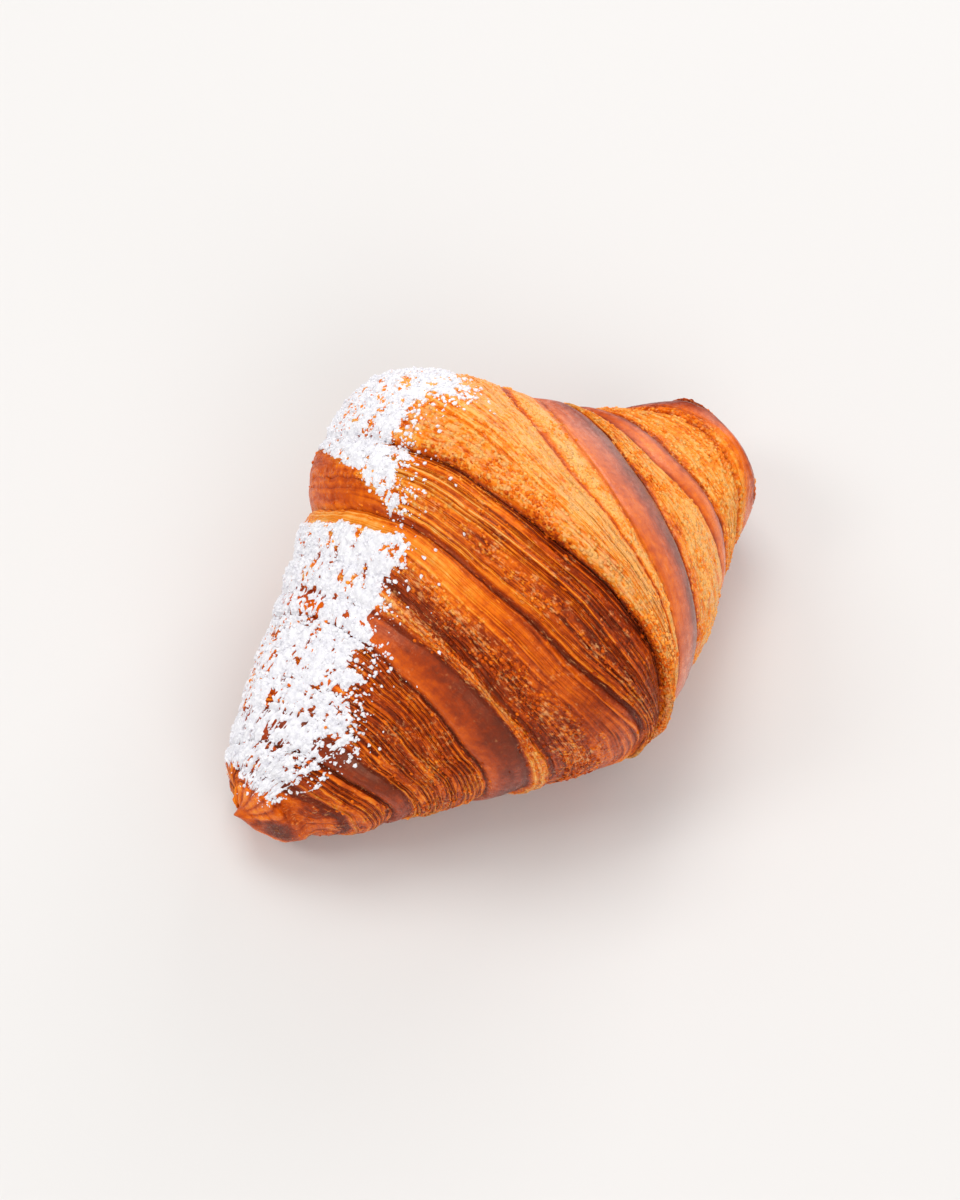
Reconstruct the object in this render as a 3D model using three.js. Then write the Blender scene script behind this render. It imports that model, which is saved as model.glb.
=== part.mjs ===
// Butter croissant, straight and plump, rolled from one sheet of laminated dough.
// Millimetres, +Z up, long axis along X, lying on its flat underside.
// Everything on it is one piece of pastry, so it is one solid.
import * as THREE from 'three';

// overall sizes
const HALF_LENGTH = 66;
const TIP_ROUNDING = 3.2;
const LEFT_TIP_LIFT = 4;
const RIGHT_TIP_LIFT = 9;
const CENTRE_SHARE = 0.46;
const ROUND_SHARE = 1 - CENTRE_SHARE;
const SQUARENESS = 2.15;

// girth along the length: share of the half length, half width, height over width, sideways offset
const GIRTH = [
  [-1.0, 8.6, 0.9, -1.2],
  [-0.94, 10.5, 0.88, -0.7],
  [-0.82, 17.0, 0.84, -1.4],
  [-0.62, 24.4, 0.79, -0.7],
  [-0.4, 33.0, 0.75, -0.3],
  [-0.15, 43.9, 0.73, 1.9],
  [0.08, 47.0, 0.72, 1.6],
  [0.3, 41.3, 0.73, 1.4],
  [0.52, 30.9, 0.76, -0.5],
  [0.72, 22.1, 0.8, 0.0],
  [0.88, 16.5, 0.84, 0.6],
  [1.0, 12.9, 0.89, 0.8],
];

// angles round the roll: 0 is the far side, 90 the crown, 180 the near side, 270 the underside
const SEAM_ANGLES = [30, 90, 140, 190, 270];
const RISE_ANGLES = [30, 90, 190, 270];

// seams where one turn of the dough ends and the next begins, from the left tip to the right tip
// at: place along X at the far side, crown, shoulder, near side, underside
// rise: step up towards +X at the far side, crown, near side
// curl: how far the lip of a step is rolled over, at the same three angles
// tuck: how far the dough before the step dips under it, at the same three angles
const SEAMS = [
  { name: 'coil', at: [-65.3, -61.6, -56.5, -52.0, -60.0], rise: [0.8, 0.9, 1.0] },
  { name: 'first band start', at: [-61.0, -56.0, -49.2, -43.8, -54.0], rise: [0.6, 0.7, 0.7] },
  { name: 'first band end', at: [-56.5, -50.5, -45.5, -41.1, -49.5], rise: [0.2, 0.2, 0.2] },
  { name: 'second band start', at: [-38.5, -33.0, -29.3, -26.8, -32.5], rise: [0.8, 0.9, 1.0] },
  { name: 'second band end', at: [-34.5, -28.4, -22.6, -19.7, -27.5], rise: [0.3, 0.4, 0.7] },
  { name: 'flaky ridge end', at: [-29.0, -23.6, -20.4, -16.0, -23.5], rise: [-0.2, -0.3, -0.6] },
  {
    name: 'central tier',
    at: [-19.2, -13.4, -6.3, 4.2, -10.0],
    rise: [3.0, 1.9, 1.4],
    curl: [1.8, 1.0, 0.4],
    tuck: [1.5, 0.6, 0.4],
  },
  {
    name: 'deep crease',
    at: [-9.5, -0.2, 9.2, 8.4, -1.0],
    rise: [0.5, 2.8, 3.0],
    curl: [0.1, 0.5, 0.4],
    tuck: [0.1, 0.7, 0.5],
  },
  { name: 'crown groove', at: [25.0, 16.8, 16.2, 10.9, 15.0], rise: [-0.5, -0.6, -0.4] },
  { name: 'third band start', at: [31.5, 24.4, 19.2, 14.6, 21.0], rise: [0.5, 0.5, 0.4] },
  { name: 'third band end', at: [36.0, 33.4, 27.6, 21.8, 28.5], rise: [-1.8, -1.3, -0.8] },
  { name: 'fourth band start', at: [38.9, 40.0, 42.4, 40.0, 40.0], rise: [-0.7, -0.9, -0.7] },
  { name: 'fourth band end', at: [42.4, 46.0, 47.0, 43.8, 44.5], rise: [-0.4, -0.6, -0.5] },
  { name: 'fifth band start', at: [50.5, 58.8, 57.8, 52.8, 54.0], rise: [1.1, 0.9, 0.6] },
  { name: 'fifth band end', at: [60.0, 64.3, 63.4, 61.5, 61.5], rise: [-0.9, -0.8, -0.6] },
];

// stretches of dough between the seams: rows of the mesh, swell of the middle, and number and
// depth of the layer ribs
const STRETCHES = [
  { name: 'left coil', rows: 7, swell: 0.3, ribs: 0, depth: 0 },
  { name: 'first ribbed turn', rows: 6, swell: 0.4, ribs: 3, depth: 0.45 },
  { name: 'first band', rows: 3, swell: 0.4, ribs: 0, depth: 0 },
  { name: 'second ribbed turn', rows: 12, swell: 0.6, ribs: 6, depth: 0.5 },
  { name: 'second band', rows: 4, swell: 0.6, ribs: 0, depth: 0 },
  { name: 'flaky ridge', rows: 3, swell: 0.7, ribs: 0, depth: 0 },
  { name: 'third ribbed turn', rows: 10, swell: 1.0, ribs: 5, depth: 0.35 },
  { name: 'central tier', rows: 12, swell: 1.2, ribs: 6, depth: 0.6 },
  { name: 'top tier', rows: 12, swell: 1.4, ribs: 6, depth: 0.4 },
  { name: 'creamy strip', rows: 3, swell: 0.4, ribs: 0, depth: 0 },
  { name: 'third band', rows: 4, swell: 0.6, ribs: 0, depth: 0 },
  { name: 'fourth ribbed turn', rows: 6, swell: 0.6, ribs: 3, depth: 0.35 },
  { name: 'fourth band', rows: 3, swell: 0.5, ribs: 0, depth: 0 },
  { name: 'fifth ribbed turn', rows: 6, swell: 0.6, ribs: 3, depth: 0.35 },
  { name: 'fifth band', rows: 3, swell: 0.5, ribs: 0, depth: 0 },
  { name: 'right coil', rows: 6, swell: 0.2, ribs: 0, depth: 0 },
];

// steps between turns
const STEP_WIDTH = 0.8;
const STEP_LEAN = 0.22;
const CURL_REACH = 3.2;
const TUCK_REACH = 2.0;
const NO_ROLL = [0, 0, 0];

// share of a stretch over which its edge leans out under a step up, or in under a step down
const LEAN_SHARE = 0.25;

// spiral of the rolled sheet on the two blunt ends
const SPIRAL_DEPTH = 1.3;
const SPIRAL_TURNS = 2;
const LEFT_SPIRAL_FADE = [0.55, 1];
const RIGHT_SPIRAL_FADE = [0, 0.45];
const SPIRAL_CLIMB = [0, 0.7];
const SPIRAL_DROP = [0.75, 1];

// small bulges of dough: the nub under the left tip and the heel where the ridges meet near the table
const BULGES = [
  { name: 'nub', x: -64.6, angle: 242, length: 1.9, halfWidth: 2.4, halfAngle: 22 },
  { name: 'heel', x: 2.0, angle: 206, length: 1.7, halfWidth: 3.5, halfAngle: 9 },
];

// how much further the left tip reaches near the viewer than behind, and over what angle
const TIP_REACH = { angle: 200, length: 1.8, halfAngle: 100, fade: [0.2, 0.55] };

// the underside has no relief, to these angles on both sides of its middle
const UNDERSIDE_ANGLE = 270;
const UNDERSIDE_FADE = [38, 62];

// soft unevenness of hand-rolled dough: heights and wave lengths in mm, and waves round the roll
const SLOW_WAVE = { height: 0.35, length: 11, round: 2, crossLength: -19, crossRound: 3 };
const QUICK_WAVE = { height: 0.16, length: 4.3, round: -5, crossLength: 7, crossRound: 4 };

// columns of the mesh round the roll
const VISIBLE_COLUMNS = 39;
const UNDERSIDE_COLUMNS = 6;
const VISIBLE_FROM = -20;
const VISIBLE_TO = 256;

// cubic through the given places and values, with a closed one repeating after one full turn
function curveThrough(places, values, x, closed = false) {
  let px = places;
  let pv = values;
  if (closed) {
    const last = places.length - 1;
    px = [places[last - 1] - 360, places[last] - 360, ...places, places[0] + 360, places[1] + 360];
    pv = [values[last - 1], values[last], ...values, values[0], values[1]];
  }
  const slope = (k) => {
    const a = Math.max(k - 1, 0);
    const b = Math.min(k + 1, px.length - 1);
    return (pv[b] - pv[a]) / (px[b] - px[a]);
  };
  let k = 0;
  while (k < px.length - 2 && x > px[k + 1]) k += 1;
  const span = px[k + 1] - px[k];
  const t = (x - px[k]) / span;
  const start = (2 * t * t * t - 3 * t * t + 1) * pv[k] + (t * t * t - 2 * t * t + t) * span * slope(k);
  const end = (3 * t * t - 2 * t * t * t) * pv[k + 1] + (t * t * t - t * t) * span * slope(k + 1);
  return start + end;
}

function smoothStep(from, to, x) {
  const t = Math.min(Math.max((x - from) / (to - from), 0), 1);
  return t * t * (3 - 2 * t);
}

// angle difference in degrees, between -180 and 180
function turnBetween(a, b) {
  return ((a - b + 540) % 360) - 180;
}

// relief shows on all of the roll but fades out under it
function reliefShare(angle) {
  const fromUnderside = Math.abs(turnBetween(angle, UNDERSIDE_ANGLE));
  return smoothStep(...UNDERSIDE_FADE, fromUnderside);
}

function wave(kind, x, a) {
  const main = Math.sin(x / kind.length + kind.round * a);
  return kind.height * main * Math.cos(x / kind.crossLength + kind.crossRound * a);
}

function unevenness(x, angle) {
  const a = (angle * Math.PI) / 180;
  return wave(SLOW_WAVE, x, a) + wave(QUICK_WAVE, x, a);
}

// swelling around one spot of the surface
function swelling(spot, x, angle) {
  const along = (x - spot.x) / spot.halfWidth;
  const round = turnBetween(angle, spot.angle) / spot.halfAngle;
  return spot.length * Math.exp(-along * along - round * round);
}

// point of the pastry at a place along X and an angle, moved out by a height
function surfacePoint(x, angle, height, spiral) {
  const share = Math.min(Math.max(x / HALF_LENGTH, -1), 1);
  const places = GIRTH.map((g) => g[0]);
  const half = curveThrough(places, GIRTH.map((g) => g[1]), share);
  const ratio = curveThrough(places, GIRTH.map((g) => g[2]), share);
  const side = curveThrough(places, GIRTH.map((g) => g[3]), share);
  const tall = 2 * half * ratio;
  const lift = (share < 0 ? LEFT_TIP_LIFT : RIGHT_TIP_LIFT) * Math.abs(share) ** 3;
  const intoTip = Math.max(Math.abs(x) - (HALF_LENGTH - TIP_ROUNDING), 0) / TIP_ROUNDING;
  const closing = Math.sqrt(Math.max(1 - intoTip * intoTip, 0));
  const a = (angle * Math.PI) / 180;
  const cos = Math.sign(Math.cos(a)) * Math.abs(Math.cos(a)) ** (2 / SQUARENESS);
  const sin = Math.sign(Math.sin(a)) * Math.abs(Math.sin(a)) ** (2 / SQUARENESS);
  const outward = height + spiral * closing;
  return [
    x + Math.sign(x) * spiral * (1 - closing),
    side + (half + outward) * closing * cos,
    Math.max(CENTRE_SHARE * tall + lift + (ROUND_SHARE * tall + outward) * closing * sin, 0),
  ];
}

// one row of the mesh is a stretch, a share of the way through it, and a side of its seam
function listRows() {
  const rows = [];
  const last = STRETCHES.length - 1;
  STRETCHES.forEach((stretch, i) => {
    for (let k = 0; k <= stretch.rows; k += 1) {
      if (i === 0 && k === 0) continue;
      if (i === last && k === stretch.rows) continue;
      rows.push({ stretch: i, share: k / stretch.rows });
    }
  });
  return rows;
}

// seams as they cross one angle of the roll
function seamsAt(angle) {
  const turn = ((angle + 360) % 360);
  const fade = reliefShare(angle);
  return SEAMS.map((seam) => {
    const riseValues = [...seam.rise, 0];
    const curlValues = [...(seam.curl ?? NO_ROLL), 0];
    const tuckValues = [...(seam.tuck ?? NO_ROLL), 0];
    return {
      x: curveThrough(SEAM_ANGLES, seam.at, turn, true),
      rise: fade * curveThrough(RISE_ANGLES, riseValues, turn, true),
      curl: fade * curveThrough(RISE_ANGLES, curlValues, turn, true),
      tuck: fade * curveThrough(RISE_ANGLES, tuckValues, turn, true),
    };
  });
}

function rowPoint(row, angle, seams) {
  const stretch = STRETCHES[row.stretch];
  const before = seams[row.stretch - 1];
  const after = seams[row.stretch];
  const u = row.share;
  let x;
  let spiral = 0;
  if (!before) {
    const end = after.x - STEP_WIDTH / 2;
    x = -HALF_LENGTH + (end + HALF_LENGTH) * u * u;
    const round = turnBetween(angle, TIP_REACH.angle) / TIP_REACH.halfAngle;
    const reach = TIP_REACH.length * Math.exp(-round * round) * (1 - smoothStep(...TIP_REACH.fade, u));
    spiral = SPIRAL_DEPTH * spiralLayer(u, angle) * (1 - smoothStep(...LEFT_SPIRAL_FADE, u)) + reach;
  } else if (!after) {
    const start = before.x + STEP_WIDTH / 2;
    x = HALF_LENGTH - (HALF_LENGTH - start) * (1 - u) * (1 - u);
    spiral = SPIRAL_DEPTH * spiralLayer(1 - u, angle) * smoothStep(...RIGHT_SPIRAL_FADE, u);
  } else {
    const lean = STEP_LEAN * Math.max(before.rise, 0) * (1 - smoothStep(0, LEAN_SHARE, u));
    const dip = STEP_LEAN * Math.max(-after.rise, 0) * smoothStep(1 - LEAN_SHARE, 1, u);
    const start = before.x + STEP_WIDTH / 2;
    const end = after.x - STEP_WIDTH / 2;
    x = start + (end - start) * u - lean + dip;
  }
  const fade = reliefShare(angle);
  let height = fade * stretch.swell * 4 * u * (1 - u);
  if (before) {
    const past = x - before.x;
    const curled = before.curl * Math.exp(-Math.max(past, 0) / CURL_REACH);
    height += (before.rise / 2) * (1 - u) * (1 - u) - curled;
  }
  if (after) {
    const ahead = after.x - x;
    const tucked = after.tuck * Math.exp(-Math.max(ahead, 0) / TUCK_REACH);
    height -= (after.rise / 2) * u * u + tucked;
  }
  if (stretch.ribs) {
    height -= (fade * stretch.depth * Math.cos(2 * Math.PI * stretch.ribs * u)) / 2;
  }
  height += fade * unevenness(x, angle);
  BULGES.forEach((bulge) => { height += swelling(bulge, x, angle); });
  return surfacePoint(x, angle, height, spiral);
}

// sawtooth that climbs from one layer of the rolled sheet to the next
function spiralLayer(outward, angle) {
  const turns = SPIRAL_TURNS * outward - angle / 360 + 2;
  const part = turns - Math.floor(turns);
  return smoothStep(...SPIRAL_CLIMB, part) - smoothStep(...SPIRAL_DROP, part);
}

function listAngles() {
  const angles = [];
  const visibleStep = (VISIBLE_TO - VISIBLE_FROM) / VISIBLE_COLUMNS;
  for (let k = 0; k < VISIBLE_COLUMNS; k += 1) angles.push(VISIBLE_FROM + visibleStep * k);
  const hiddenStep = (360 + VISIBLE_FROM - VISIBLE_TO) / UNDERSIDE_COLUMNS;
  for (let k = 0; k < UNDERSIDE_COLUMNS; k += 1) angles.push(VISIBLE_TO + hiddenStep * k);
  return angles;
}

function croissantMesh() {
  const angles = listAngles();
  const seams = angles.map(seamsAt);
  const rows = listRows();
  const points = [surfacePoint(-HALF_LENGTH, 0, 0, 0)];
  rows.forEach((row) => angles.forEach((angle, j) => points.push(rowPoint(row, angle, seams[j]))));
  points.push(surfacePoint(HALF_LENGTH, 0, 0, 0));
  const around = angles.length;
  const at = (r, j) => 1 + r * around + (j % around);
  const faces = [];
  for (let j = 0; j < around; j += 1) faces.push(0, at(0, j + 1), at(0, j));
  for (let r = 0; r < rows.length - 1; r += 1) {
    for (let j = 0; j < around; j += 1) {
      faces.push(at(r, j), at(r, j + 1), at(r + 1, j));
      faces.push(at(r, j + 1), at(r + 1, j + 1), at(r + 1, j));
    }
  }
  const right = points.length - 1;
  for (let j = 0; j < around; j += 1) faces.push(right, at(rows.length - 1, j), at(rows.length - 1, j + 1));
  return { points, faces };
}

// put the middle of the box over the origin, with the underside on the floor
function centred(points) {
  const low = [0, 1].map((axis) => Math.min(...points.map((p) => p[axis])));
  const high = [0, 1].map((axis) => Math.max(...points.map((p) => p[axis])));
  const middle = [0, 1].map((axis) => (low[axis] + high[axis]) / 2);
  return points.map((p) => [p[0] - middle[0], p[1] - middle[1], p[2]]);
}

const { points, faces } = croissantMesh();
const geometry = new THREE.BufferGeometry();
geometry.setAttribute('position', new THREE.Float32BufferAttribute(centred(points).flat(), 3));
geometry.setIndex(faces);
geometry.computeVertexNormals();

const crust = new THREE.MeshStandardMaterial({ name: 'baked_crust', color: 0xb8641f, roughness: 0.55 });
const croissant = new THREE.Mesh(geometry, crust);
croissant.name = 'croissant';

const part = new THREE.Group();
part.name = 'croissant_part';
part.add(croissant);

export default part;
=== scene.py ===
import math

import bpy
import numpy as np
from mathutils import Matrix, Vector


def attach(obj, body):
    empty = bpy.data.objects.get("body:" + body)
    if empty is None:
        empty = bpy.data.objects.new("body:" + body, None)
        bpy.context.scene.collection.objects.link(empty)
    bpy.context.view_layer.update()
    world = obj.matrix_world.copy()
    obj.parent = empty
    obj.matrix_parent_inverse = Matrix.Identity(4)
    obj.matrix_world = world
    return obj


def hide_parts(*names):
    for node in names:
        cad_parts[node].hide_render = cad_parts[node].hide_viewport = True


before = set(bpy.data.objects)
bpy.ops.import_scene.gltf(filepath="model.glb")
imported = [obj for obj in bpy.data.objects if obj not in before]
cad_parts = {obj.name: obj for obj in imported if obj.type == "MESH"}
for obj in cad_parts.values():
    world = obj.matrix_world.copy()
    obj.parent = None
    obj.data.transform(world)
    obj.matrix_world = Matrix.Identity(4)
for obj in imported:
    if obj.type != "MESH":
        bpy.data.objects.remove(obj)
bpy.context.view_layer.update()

MM = 0.001

# Camera: a long lens that looks down steeply at the near side of the roll.
CAMERA_AZIMUTH = math.radians(-38.35)
CAMERA_ELEVATION = math.radians(60)
CAMERA_DISTANCE = 487.0 * MM
CAMERA_AIM = Vector((-3.04, -2.66, 28.49)) * MM
CAMERA_LENS = 70.1

back = Vector((
    math.sin(CAMERA_AZIMUTH) * math.cos(CAMERA_ELEVATION),
    -math.cos(CAMERA_AZIMUTH) * math.cos(CAMERA_ELEVATION),
    math.sin(CAMERA_ELEVATION),
))
camera = bpy.data.objects.new("camera", bpy.data.cameras.new("camera"))
camera.data.sensor_width = 36
camera.data.lens = CAMERA_LENS
camera.data.clip_start = 0.01
camera.location = CAMERA_AIM + back * CAMERA_DISTANCE
camera.rotation_mode = "QUATERNION"
camera.rotation_quaternion = (-back).to_track_quat("-Z", "Y")
bpy.context.scene.collection.objects.link(camera)
bpy.context.scene.camera = camera
bpy.context.scene.view_settings.view_transform = "Standard"


# Floor: one plain, pale, matt sheet that reaches past the picture on every side.
FLOOR_HALF = 3.0
FLOOR_COLOUR = (0.71, 0.698, 0.69, 1)

floor_mesh = bpy.data.meshes.new("floor")
floor_signs = [(-1, -1), (1, -1), (1, 1), (-1, 1)]
floor_mesh.from_pydata([(FLOOR_HALF * x, FLOOR_HALF * y, 0) for x, y in floor_signs], [], [(0, 1, 2, 3)])
floor = bpy.data.objects.new("floor", floor_mesh)
floor_material = bpy.data.materials.new("floor")
floor_material.use_nodes = True
floor_shader = floor_material.node_tree.nodes["Principled BSDF"]
floor_shader.inputs["Base Color"].default_value = FLOOR_COLOUR
floor_shader.inputs["Roughness"].default_value = 0.6
floor_shader.inputs["Specular IOR Level"].default_value = 0.2
floor_mesh.materials.append(floor_material)
bpy.context.scene.collection.objects.link(floor)


# Light: a wide softbox high behind the roll, weaker ones at its sides, and an even pale room.
def softbox(name, place, aim, size, power, colour):
    """A rectangular area light at a place, facing a point."""
    light = bpy.data.lights.new(name, "AREA")
    light.shape = "RECTANGLE"
    light.size, light.size_y = size
    light.energy = power
    light.color = colour
    lamp = bpy.data.objects.new(name, light)
    lamp.location = Vector(place)
    lamp.rotation_mode = "QUATERNION"
    lamp.rotation_quaternion = (Vector(aim) - Vector(place)).to_track_quat("-Z", "Y")
    bpy.context.scene.collection.objects.link(lamp)


softbox("softbox_behind", (0.35, 0.9, 2.1), (0, 0, 0.03), (1.3, 1.0), 19.5, (1.0, 0.99, 0.975))
softbox("softbox_right", (1.05, 0.42, 0.56), (0, 0, 0.04), (0.8, 0.5), 4.6, (0.97, 0.98, 1.0))
softbox("softbox_left", (-0.7, 0.45, 0.95), (0, 0, 0.04), (0.4, 0.4), 3.0, (1.0, 0.99, 0.97))
softbox("softbox_front", (-0.35, -1.0, 0.8), (0, 0, 0.02), (1.0, 0.7), 6.0, (1.0, 0.985, 0.965))

world = bpy.data.worlds.new("room")
world.use_nodes = True
world.node_tree.nodes["Background"].inputs["Color"].default_value = (1.0, 0.992, 0.982, 1)
world.node_tree.nodes["Background"].inputs["Strength"].default_value = 0.58
bpy.context.scene.world = world


# Croissant: one long triangle of laminated butter dough, rolled up from its wide end, egg-washed and
# baked. Every turn of the sheet lies on the one before it, with its cut edge showing as fine layers.
# This piece has the true form of the CAD solid with all its layers, and the CAD node is hidden in its place.
HALF_LENGTH = 66.0
TIP_ROUNDING = 3.2
LEFT_TIP_LIFT = 4.0
RIGHT_TIP_LIFT = 9.0
CENTRE_SHARE = 0.46
ROUND_SHARE = 1 - CENTRE_SHARE
SQUARENESS = 2.15
PLAN_MIDDLE = (-0.429, 2.086)

# share of the half length, half width, height over width, sideways offset
GIRTH = np.array([
    [-1.0, 8.6, 0.9, -1.2],
    [-0.94, 10.5, 0.88, -0.7],
    [-0.82, 17.0, 0.84, -1.4],
    [-0.62, 24.4, 0.79, -0.7],
    [-0.4, 33.0, 0.75, -0.3],
    [-0.15, 43.9, 0.73, 1.9],
    [0.08, 47.0, 0.72, 1.6],
    [0.3, 41.3, 0.73, 1.4],
    [0.52, 30.9, 0.76, -0.5],
    [0.72, 22.1, 0.8, 0.0],
    [0.88, 16.5, 0.84, 0.6],
    [1.0, 12.9, 0.89, 0.8],
])

# angles round the roll: 0 is the far side, 90 the crown, 180 the near side, 270 the underside
SEAM_ANGLES = [30, 90, 140, 190, 270]
RISE_ANGLES = [30, 90, 190, 270]

# Seams of the rolled sheet from the left tip to the right tip: place along X at the seam angles,
# then step up towards +X, roll of the lip and dip of the dough before it at the rise angles.
SEAMS = [
    dict(at=(-65.3, -61.6, -56.5, -52.0, -60.0), rise=(0.8, 0.9, 1.0, 0)),
    dict(at=(-61.0, -56.0, -49.2, -43.8, -54.0), rise=(0.6, 0.7, 0.7, 0)),
    dict(at=(-56.5, -50.5, -45.5, -41.1, -49.5), rise=(0.2, 0.2, 0.2, 0)),
    dict(at=(-38.5, -33.0, -29.3, -26.8, -32.5), rise=(0.8, 0.9, 1.0, 0)),
    dict(at=(-34.5, -28.4, -22.6, -19.7, -27.5), rise=(0.3, 0.4, 0.7, 0)),
    dict(at=(-29.0, -23.6, -20.4, -16.0, -23.5), rise=(-0.2, -0.3, -0.6, 0)),
    dict(at=(-19.2, -13.4, -6.3, 4.2, -10.0), rise=(3.0, 1.9, 1.4, 0),
         curl=(1.8, 1.0, 0.4, 0), tuck=(1.5, 0.6, 0.4, 0)),
    dict(at=(-9.5, -0.2, 9.2, 8.4, -1.0), rise=(0.5, 2.8, 3.0, 0),
         curl=(0.1, 0.5, 0.4, 0), tuck=(0.1, 0.7, 0.5, 0)),
    dict(at=(25.0, 16.8, 16.2, 10.9, 15.0), rise=(-0.5, -0.6, -0.4, 0)),
    dict(at=(31.5, 24.4, 19.2, 14.6, 21.0), rise=(0.5, 0.5, 0.4, 0)),
    dict(at=(36.0, 33.4, 27.6, 21.8, 28.5), rise=(-1.8, -1.3, -0.8, 0)),
    dict(at=(38.9, 40.0, 42.4, 40.0, 40.0), rise=(-0.7, -0.9, -0.7, 0)),
    dict(at=(42.4, 46.0, 47.0, 43.8, 44.5), rise=(-0.4, -0.6, -0.5, 0)),
    dict(at=(50.5, 58.8, 57.8, 52.8, 54.0), rise=(0.5, 0.7, 0.6, 0)),
    dict(at=(60.0, 64.3, 63.4, 61.5, 61.5), rise=(-0.9, -0.8, -0.6, 0)),
]
NO_ROLL = (0, 0, 0, 0)

# Stretches of dough between the seams. depth is that of its layer ribs at the bake angles. bake says
# how dark it is baked, from share to share of its width, at the bake angles; finish gives, the same
# way, its shares of blisters, pale bare dough, thin layer edges and smooth egg-washed skin. On two
# stretches below, the palest bake and pale dough also hold painted highlight.
BAKE_ANGLES = [20, 90, 140, 190, 300]
UNDERSIDE_BROWN = 0.5
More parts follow.
